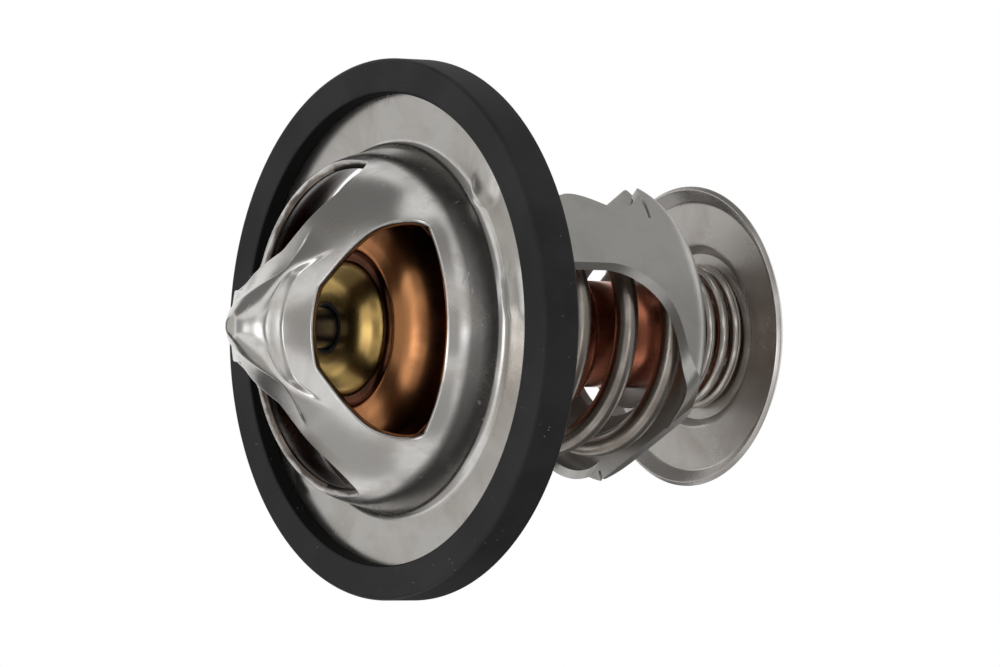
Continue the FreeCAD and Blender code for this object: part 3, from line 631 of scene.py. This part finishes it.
def nose_rise(x, y, skin):
    """How far the nose stands over the dome: the gap between the two profiles at this radius, kept
    positive by a soft maximum and faded out along the legs. It is whole outside the scoops, bends
    over a shoulder to the steep fold at their edge, and runs out in a fillet. The faces between the
    tip and the scoops are hollowed a little, by a power of a parabola."""
    outside, along, radius, cosine = raised(x, y)
    inset = outside - FOLD_INSET * skin
    gap = np.interp(radius, nose_skin[:, 0], nose_skin[:, 1]) - np.interp(radius, upper_radius, upper_height)
    gap = 0.5 * (gap + np.sqrt(gap ** 2 + 0.03))
    ridge = smooth_step((RIDGE_END - radius) / RIDGE_FADE)
    wall = smooth_step(inset / FOLD + 0.5)
    fillet = np.clip(inset / FILLET + 1, 0, 1) ** 2
    drop = SHOULDER_DROP * np.clip(1 - outside / SHOULDER, 0, 1) ** 2 * (1 - skin)
    reach = np.clip((along - FLUTE_START) / FLUTE_LENGTH, 0, 1)
    hollow = (4 * reach * (1 - reach)) ** 1.5 * np.maximum((1 + cosine) / 2, 0)
    standing = (FOLD_SHARE * wall + (1 - FOLD_SHARE) * fillet) * (1 - drop)
    return gap * ridge * standing - FLUTE * hollow * (1 - 0.75 * skin)


# The windows: a straight top, sides along the legs and a round foot, with a curl at each low corner.
WINDOW_TOP_R = 7.4
WINDOW_TOP_CORNER = 1.6
WINDOW_FOOT_R = 19.2
WINDOW_FOOT_CORNER = 3.4
LEG_HALF = 4.1


def window_half():
    """Half the window's outline in plan, from the middle of its top edge to the middle of its foot.
    The low corner is a cubic curve whose handles reach halfway to the corner."""
    half = math.pi / 3
    top_y = (WINDOW_TOP_R * math.sin(half) - LEG_HALF) / math.cos(half)
    reach = math.sqrt(WINDOW_FOOT_R ** 2 - LEG_HALF ** 2)
    along = np.array([math.cos(half), math.sin(half)])
    inward = np.array([math.sin(half), -math.cos(half)])
    foot = along * reach + inward * LEG_HALF
    side_end = along * (reach - WINDOW_FOOT_CORNER * 1.25) + inward * LEG_HALF
    arc_start = math.atan2(foot[1], foot[0]) - WINDOW_FOOT_CORNER / WINDOW_FOOT_R
    arc_begin = WINDOW_FOOT_R * np.array([math.cos(arc_start), math.sin(arc_start)])
    top = rounded_line([(WINDOW_TOP_R, 0.0), (WINDOW_TOP_R, top_y), tuple(side_end)], [WINDOW_TOP_CORNER], 24)
    u = np.linspace(0, 1, 24)[1:, None]
    curl = ((1 - u) ** 3 * side_end + 3 * (1 - u) ** 2 * u * (side_end + foot) / 2
            + 3 * (1 - u) * u ** 2 * (arc_begin + foot) / 2 + u ** 3 * arc_begin)
    sweep = np.linspace(arc_start, 0, 60)[1:, None]
    arc = WINDOW_FOOT_R * np.concatenate([np.cos(sweep), np.sin(sweep)], 1)
    return np.concatenate([top, curl, arc]), side_end, arc_begin


window, side_end, arc_begin = window_half()
run = np.concatenate([[0], np.cumsum(np.linalg.norm(np.diff(window, axis=0), axis=1))])


def run_at(spot):
    """Length along the window's outline at its point nearest to a spot."""
    return float(run[np.argmin(np.linalg.norm(window - np.asarray(spot), axis=1))])


# A sixth of the dome in plan: rows of points from the window's edge to the leg's middle line and to
# the foot of the dome. Rows and columns crowd round the nose, the scoops' edge and the window's edge.
ACROSS = 44
CROWDED_R = 5.2
LIP = 0.14
leg_way = np.array([math.cos(math.pi / 3), math.sin(math.pi / 3)])
leg_steps = np.concatenate([np.linspace(0, CROWDED_R, 26)[:-1], np.linspace(CROWDED_R, SPLIT_R, 74)])
leg_marks = [0.0, CROWDED_R, float(side_end @ leg_way), SPLIT_R]
run_marks = [0.0, run_at((WINDOW_TOP_R + 0.2, 4.8)), run_at(side_end), run_at(side_end) + 2.4]
foot_angles = np.linspace(60, 0, 61)[1:]
foot_ways = np.stack([np.cos(np.radians(foot_angles)), np.sin(np.radians(foot_angles))], 1)
outer_loop = np.concatenate([leg_steps[:, None] * leg_way, SPLIT_R * foot_ways])
foot_runs = np.interp(-foot_angles, [-60, -46, 0], [run_marks[-1], run_at(arc_begin), run[-1]])
loop_runs = np.concatenate([np.interp(leg_steps, leg_marks, run_marks), foot_runs])
inner_loop = np.stack([np.interp(loop_runs, run, window[:, 0]), np.interp(loop_runs, run, window[:, 1])], 1)
across_way = (outer_loop - inner_loop)[:, None]
even = np.linspace(0, 1, 400)[None, :]
fine = inner_loop[:, None] + across_way * even[:, :, None]
crowd = 1 + 4 * np.exp(-(raised(fine[..., 0], fine[..., 1])[0] / 0.6) ** 2) + 2 * np.exp(-even * 12)
crowd = np.cumsum(crowd, axis=1) - crowd[:, :1]
crowd = crowd / crowd[:, -1:]
across = np.stack([np.interp(np.linspace(0, 1, ACROSS)[1:], row, even[0]) for row in crowd])
lip = np.minimum(LIP / np.linalg.norm(across_way, axis=2), 0.4)
across = np.concatenate([np.zeros_like(lip), lip, lip + (1 - lip) * across], 1)
plan = inner_loop[:, None] + across_way * across[:, :, None]


def dome_points(plan, skin):
    """Plan points set on a skin: 0 is the outside, 1 the inside, a sheet deep along the dome's normal,
    with the nose pressed up in both."""
    x, y = plan[..., 0], plan[..., 1]
    radius = np.minimum(np.hypot(x, y), SPLIT_R)
    height = np.interp(radius, upper_radius, upper_height)
    slope = np.interp(radius, upper_radius, upper_slope)
    long = np.sqrt(1 + slope ** 2)
    depth = SHEET * skin
    new_radius = radius + depth * slope / long
    new_height = height - depth / long + nose_rise(x, y, skin)
    new_height = np.minimum(new_height, NOSE_TOP - depth)
    scale = np.where(radius > 1e-9, new_radius / np.maximum(radius, 1e-9), 1.0)
    scale = np.maximum(scale, 0)
    return np.stack([x * scale, y * scale, new_height], -1)


RIM_DEPTHS = (0.12, 0.5, 0.88)
outer_skin = dome_points(plan, 0.0)
inner_skin = dome_points(plan, 1.0)
window_rim = np.stack([dome_points(plan[:, 0], depth) for depth in RIM_DEPTHS], 1)
sixth = np.concatenate([outer_skin[:, :0:-1], window_rim, inner_skin[:, 1:-1:2], inner_skin[:, -1:]], 1)
rows, columns = sixth.shape[:2]
sixth_depth = np.concatenate([np.zeros(ACROSS), RIM_DEPTHS, np.ones(columns - ACROSS - len(RIM_DEPTHS))])
sixth_faces = grid_faces(rows, columns, False, False)
sixth = sixth.reshape(-1, 3)
dome_sets = []
dome_faces = []
for third in range(3):
    for side in (1, -1):
        turn_by = 2 * math.pi * third / 3
        c, s = math.cos(turn_by), math.sin(turn_by)
        x, y = sixth[:, 0], sixth[:, 1] * side
        dome_sets.append(np.stack([c * x - s * y, s * x + c * y, sixth[:, 2]], 1))
        offset = len(dome_faces) * len(sixth)
        dome_faces.append((sixth_faces if side > 0 else sixth_faces[:, ::-1]) + offset)

# The flange and the neck, with a pair of round buttons and a pair of long ones: the angle and radius
# of each button's middle, half its width, its height, and half the long one's sweep in degrees.
ROUND_ANGLE = 44.5
ROUND_R = 23.58
ROUND_HALF = 2.6
ROUND_RISE = 0.45
LONG_ANGLE = 11.5
LONG_R = 23.34
LONG_HALF = 2.12
LONG_RISE = 0.3
LONG_SWEEP = 3.5
FLAT_FROM = 22.7
FLAT_TO = 28.7
FLAT_STEPS = 26
RIM_BREAK = 0.12


def ball_cap(radius, turn, middle, half, rise):
    """A low cap: its height less the square of the distance from its middle, over half its width."""
    turn = np.radians(turn)
    distance = np.hypot(radius * np.cos(turn) - middle, radius * np.sin(turn))
    return rise * np.clip(1 - (distance / half) ** 2, 0, 1)


def button_rise(x, y):
    """Height of the pressed buttons: caps on the flange, the same on its other side. The long pair
    measures its distance from an arc instead of from a point."""
    radius = np.hypot(x, y)
    angle = np.degrees(np.arctan2(y, x)) % 180
    swing = angle - LONG_ANGLE
    swing = swing - 180 * np.round(swing / 180)
    swing = swing - np.clip(swing, -LONG_SWEEP, LONG_SWEEP)
    return (ball_cap(radius, angle - ROUND_ANGLE, ROUND_R, ROUND_HALF, ROUND_RISE)
            + ball_cap(radius, swing, LONG_R, LONG_HALF, LONG_RISE))


back_line, back_bends = beside(dome_corners, dome_bends, -SHEET)
neck_outside = rounded_line(dome_corners[:3], dome_bends[:1], 12)
neck_inside = rounded_line(back_line[:3], back_bends[:1], 12)
tilt = float(np.interp(SPLIT_R, upper_radius, upper_slope))
inner_split = (SPLIT_R + SHEET * tilt / math.hypot(1, tilt), SPLIT_Z - SHEET / math.hypot(1, tilt))
neck_outside = neck_outside[(neck_outside[:, 1] < SPLIT_Z - 0.1) & (neck_outside[:, 0] < FLAT_FROM - 0.1)]
neck_inside = neck_inside[(neck_inside[:, 1] < inner_split[1] - 0.1) & (neck_inside[:, 0] < FLAT_FROM - 0.1)]
flat_r = np.linspace(FLAT_TO, FLAT_FROM, FLAT_STEPS)
flange = np.concatenate([
    [[SPLIT_R, SPLIT_Z]], neck_outside[::-1],
    np.stack([flat_r[::-1], np.full(FLAT_STEPS, FLANGE_TOP)], 1),
    [[RIM_R - 0.08, FLANGE_TOP - 0.03], [RIM_R, FLANGE_TOP - RIM_BREAK],
     [RIM_R, -FLANGE_TOP + RIM_BREAK], [RIM_R - 0.08, -FLANGE_TOP + 0.03]],
    np.stack([flat_r, np.full(FLAT_STEPS, -FLANGE_TOP)], 1),
    neck_inside, [inner_split]])
FLANGE_COLUMNS = 360
flange_points, flange_faces = turned(flange, FLANGE_COLUMNS)
flange_points[:, 2] += button_rise(flange_points[:, 0], flange_points[:, 1])
flange_depth = np.zeros(len(flange))
flange_depth[-len(neck_inside) - 1:] = 1.0

bridge_points = np.concatenate(dome_sets + [flange_points])
bridge_faces = np.concatenate(dome_faces + [flange_faces + len(sixth) * 6])
bridge_depth = np.concatenate([np.tile(sixth_depth, rows * 6), np.repeat(flange_depth, FLANGE_COLUMNS)])
# Painted shade: the inside skin of the dome and neck goes dark by its depth into the sheet, for the shade
# inside the dome.
bridge_steel = metal("bridge_steel", (0.62, 0.61, 0.59), (0.42, 0.36, 0.31), 0.24, 0.00001,
                     ((0.085, 0.07, 0.06), "depth", 0.15, 0.6),
                     stain=0.4, stain_scale=120.0, spread=0.14, ring_share=0.2, scratch=0.5)
make_piece("upper_bridge_pressing", bridge_points, bridge_faces, bridge_steel, "housing",
           "upper_bridge", 55.0, bridge_depth)


# Lower frame. One stainless strip, folded into two legs, a spring plate and a partial skirt. It hooks
# on to the flange and holds the main spring. Its form is the CAD node's, welded and shaded smooth.
frame_steel = metal("frame_steel", (0.60, 0.59, 0.57), (0.45, 0.42, 0.38), 0.4, 0.00002,
                    stain=0.3, stain_scale=150.0, spread=0.1, ring_share=0.1, scratch=0.3)
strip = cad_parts["lower_frame"].data.copy()
work = bmesh.new()
work.from_mesh(strip)
bmesh.ops.remove_doubles(work, verts=work.verts, dist=2e-6)
work.to_mesh(strip)
work.free()
if strip.has_custom_normals:
    strip.attributes.remove(strip.attributes["custom_normal"])
add_piece("lower_frame_strip", strip, frame_steel, "housing", "lower_frame", 32.0)


# Piston pin. A ground steel pin with a tapered tip. It stands still between the nose, which it pushes
# against, and the wax, which pushes the capsule down along it.
PIN_R = 2.3
PIN_FOOT = -15.0
PIN_TIP_R = 0.5
PIN_TAPER = 1.5
PIN_TOP = NOSE_TOP - SHEET
pin_steel = metal("pin_steel", (0.20, 0.195, 0.19), (0.10, 0.09, 0.08), 0.32, 0.00001, stain=0.5)
pin_outline = rounded_line([(0, PIN_FOOT), (PIN_R, PIN_FOOT), (PIN_R, PIN_TOP - PIN_TAPER),
                            (PIN_TIP_R, PIN_TOP), (0, PIN_TOP)], [0.4, 0.4, 0.1])
points, faces = turned(pin_outline, 96)
make_piece("piston_pin_ground", points, faces, pin_steel, "housing", "piston_pin")


# Valve plate. A hat of copper-coloured sheet, pressed on the capsule by its tube. Its brim, with the
# lip turned down, closes the neck of the bridge, and its outer crown and brim are painted dark as shade.
def sheet_loop(points, bends, thickness, edge):
    """Closed outline of a pressed sheet: one skin out, the other back, with broken edges."""
    back, back_bends = beside(points, bends, thickness)
    corners = np.concatenate([np.array(points, float), back[::-1]])
    return rounded_loop(corners, [edge, *bends, edge, edge, *back_bends[::-1], edge])


BRIM_TOP = 1.7
BRIM_GAP = 0.3
VALVE_SHEET = 0.9
LIP_DROP = 1.3
neck_slope = (NECK_FOOT_R - NECK_TOP_R) / NECK_HEIGHT
brim_r = NECK_FOOT_R - neck_slope * (BRIM_TOP - FLANGE_TOP) - SHEET * math.hypot(1, neck_slope) - BRIM_GAP
valve_corners = [(brim_r, BRIM_TOP - LIP_DROP - VALVE_SHEET), (brim_r, BRIM_TOP), (13.2, BRIM_TOP),
                 (12.9, 6.0), (9.0, 7.8), (9.0, 0.6)]
# Painted shade: the outer crown and brim go dark from 12.2 to 13.5 mm off the axis, where they lie in the
# neck's shade.
valve_copper = metal("valve_copper", (0.64, 0.29, 0.12), (0.34, 0.13, 0.06), 0.33, 0.000015,
                     ((0.085, 0.032, 0.017), "radius", 12.2, 13.5),
                     stain=0.6, stain_scale=130.0, spread=0.12, ring_share=0.6, scratch=0.3)
points, faces = turned(sheet_loop(valve_corners, [1.1, 0.3, 4.0, 0.4], -VALVE_SHEET, 0.1), 300)
make_piece("valve_plate_hat", points, faces, valve_copper, "valve", "valve_plate")


# Wax capsule. A copper cup drawn in two steps, with its mouth rolled over the guide. Towards the
# mouth it is painted dark as shade.
CUP_WALL = 0.8
cup_corners = [(0.0, -41.5), (6.2, -41.5), (6.2, -23.6), (9.0, -22.0), (9.0, 7.7), (7.7, 7.7)]
cup_bends = [1.3, 0.8, 1.3, 0.8]
cup_back, cup_back_bends = beside(cup_corners, cup_bends, -CUP_WALL)
cup_back[0, 0] = 0.0
cup_outline = rounded_line([*cup_corners, *cup_back[::-1]], [*cup_bends, 0.1, 0.1, *cup_back_bends[::-1]])
# Painted shade: the cup goes dark from 3 to 5 mm up, for the shaded mouth between the guide and the crown.
cup_copper = metal("cup_copper", (0.50, 0.17, 0.10), (0.24, 0.08, 0.045), 0.26, 0.00001,
                   ((0.05, 0.02, 0.01), "height", 3.0, 5.0),
                   stain=0.5, stain_scale=120.0, spread=0.12, ring_share=0.7, scratch=0.2)
points, faces = turned(cup_outline, 240)
make_piece("capsule_cup_drawn", points, faces, cup_copper, "valve", "capsule_cup")


# Guide. A turned brass plug with a domed shoulder, bored for the pin and held by the mouth of the cup.
# A pocket at the top of its bore takes the wiper ring.
BORE_R = 2.38
POCKET_R = 2.9
POCKET_FOOT = 9.2
GUIDE_TOP = 10.3
guide_corners = [(8.2, 3.3), (8.2, 6.9), (7.6, 6.9), (7.6, 8.3), (5.3, GUIDE_TOP), (POCKET_R, GUIDE_TOP),
                 (POCKET_R, POCKET_FOOT), (BORE_R, POCKET_FOOT), (BORE_R, 1.2), (4.4, 1.2), (4.4, 3.3)]
guide_bends = [0.1, 0.1, 0.1, 2.6, 3.3, 0.1, 0.05, 0.1, 0.2, 0.2, 0.1]
guide_brass = metal("guide_brass", (0.55, 0.37, 0.13), (0.34, 0.22, 0.09), 0.3, 0.00001,
                    stain=0.5, stain_scale=160.0, spread=0.1, ring_share=0.8, scratch=0.3)
points, faces = turned(rounded_loop(guide_corners, guide_bends), 240)
make_piece("guide_turned", points, faces, guide_brass, "valve", "guide")


# Wiper ring. A small black rubber ring pressed into the guide's pocket, where it keeps the coolant's
# dirt off the pin.
wiper_corners = [(BORE_R, POCKET_FOOT), (POCKET_R, POCKET_FOOT), (POCKET_R, GUIDE_TOP), (BORE_R, GUIDE_TOP)]
boot_rubber = rubber("boot_rubber", (0.02, 0.02, 0.022), 0.5, 0.00003, 0.2)
points, faces = turned(rounded_loop(wiper_corners, [0.05, 0.05, 0.15, 0.15]), 120)
make_piece("wiper_ring_lip", points, faces, boot_rubber, "valve", "wiper_ring")


# Main spring. Hard-drawn steel wire, coiled left-handed, with closed ends ground flat. It stands on
# the lower frame's plate and pushes the brim of the valve plate shut.
PER_TURN = 72
GRIND = 0.15


def coil(radius, wire, low, high, turns, closing, phase, around):
    """A round wire carried along a left-hand helix between two faces. Half a turn at each end closes
    up, rising by half the closing share of the wire. The centre line's height is smoothed where the
    pitch changes, and the section stands on the line's own normal. The ends are ground by a share of
    the wire: every point is held between the two faces."""
    grind = wire * GRIND
    rise = wire * closing * 0.5
    marks = [0, 0.5, turns - 0.5, turns]
    levels = [low + grind, low + grind + rise, high - grind - rise, high - grind]
    count = int(PER_TURN * turns)
    t = np.linspace(0, turns, count)
    z = sum(np.interp(np.clip(t + d, 0, turns), marks, levels) for d in np.linspace(-0.12, 0.12, 9)) / 9
    angle = math.radians(phase) - 2 * math.pi * t
    line = np.stack([radius * np.cos(angle), radius * np.sin(angle), z], 1)
    along = np.gradient(line, axis=0)
    along /= np.linalg.norm(along, axis=1)[:, None]
    out = np.stack([np.cos(angle), np.sin(angle), np.zeros_like(angle)], 1)
    up = np.cross(along, out)
    up *= np.sign(up[:, 2:3])
    ring = np.arange(around) * 2 * math.pi / around
    tube = line[:, None] + wire / 2 * (np.cos(ring)[None, :, None] * out[:, None]
                                       + np.sin(ring)[None, :, None] * up[:, None])
    tube[..., 2] = np.clip(tube[..., 2], low, high)
    caps = [np.repeat(tube[end].mean(0)[None], around, 0) for end in (0, -1)]
    points = np.concatenate([caps[0], tube.reshape(-1, 3), caps[1]])
    return points, grid_faces(count + 2, around)


PLATE_TOP = -30.9
BRIM_UNDER = 0.8
spring_steel = metal("spring_steel", (0.44, 0.40, 0.36), (0.24, 0.20, 0.16), 0.3, 0.00001,
                     stain=0.5, stain_scale=200.0, spread=0.1, ring_share=0.0, scratch=0.3)
points, faces = coil(13.0, 2.7, PLATE_TOP, BRIM_UNDER, 5.2, 0.85, 170.0, 20)
main_spring = make_piece("main_spring_coil", points, faces, spring_steel, "housing", "main_spring")
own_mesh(main_spring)


# Bypass spring. A small spring of bright wire, coiled left-handed like the main one. It hangs from its
# seat on the capsule's tail and pushes the bypass disc away, with a hair of room at the disc.
SEAT_UNDER = -34.2
DISC_SEAT = -43.58
bright_wire = metal("bright_wire", (0.66, 0.63, 0.59), (0.40, 0.35, 0.30), 0.22, 0.00001,
                    stain=0.4, stain_scale=200.0, spread=0.1, ring_share=0.0, scratch=0.2)
points, faces = coil(7.95, 1.25, DISC_SEAT, SEAT_UNDER, 4.9, 1.08, 155.0, 16)
bypass_spring = make_piece("bypass_spring_coil", points, faces, bright_wire, "valve", "bypass_spring")
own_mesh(bypass_spring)


# Bypass disc. A stainless pressing with a flared rim, a flat face, a seat for its spring and a well
# whose floor has the hub. The hub slides on the stem.
DISC_SHEET = 0.7
DISC_FOOT = -45.9 - DISC_SHEET
disc_corners = [(17.7, -41.85), (16.0, -43.45), (11.0, -43.45), (10.0, -44.3), (7.25, -44.3),
                (7.25, DISC_FOOT), (4.4, DISC_FOOT), (4.1, -45.3), (2.28, -45.3)]
disc_bends = [1.5, 0.4, 0.8, 0.2, 0.8, 0.35, 0.3]
disc_steel = metal("disc_steel", (0.60, 0.58, 0.56), (0.42, 0.35, 0.30), 0.28, 0.00001,
                   stain=0.4, stain_scale=110.0, spread=0.12, ring_share=0.7, scratch=0.4)
points, faces = turned(sheet_loop(disc_corners, disc_bends, DISC_SHEET, 0.15), 300)
make_piece("bypass_disc_pressing", points, faces, disc_steel, "bypass", "bypass_disc")


# Parts inside the capsule and at its tail, in the form that the CAD gives them: a rubber boot round
# the pin, a stiff plastic washer over it and the wax below, then a pressed spring seat, a ground
# stem for the disc and a wire clip in the stem's groove.
wax = rubber("wax", (0.50, 0.33, 0.16), 0.55, 0.00005, 0.3)
backup_plastic = rubber("backup_plastic", (0.62, 0.62, 0.58), 0.45, 0.00002, 0.2)
for node, material in (("backup_washer", backup_plastic), ("rubber_boot", boot_rubber),
                       ("wax_charge", wax), ("bypass_spring_seat", disc_steel),
                       ("bypass_stem", pin_steel), ("stem_clip", spring_steel)):
    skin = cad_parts[node]
    skin.data.materials.clear()
    skin.data.materials.append(material)
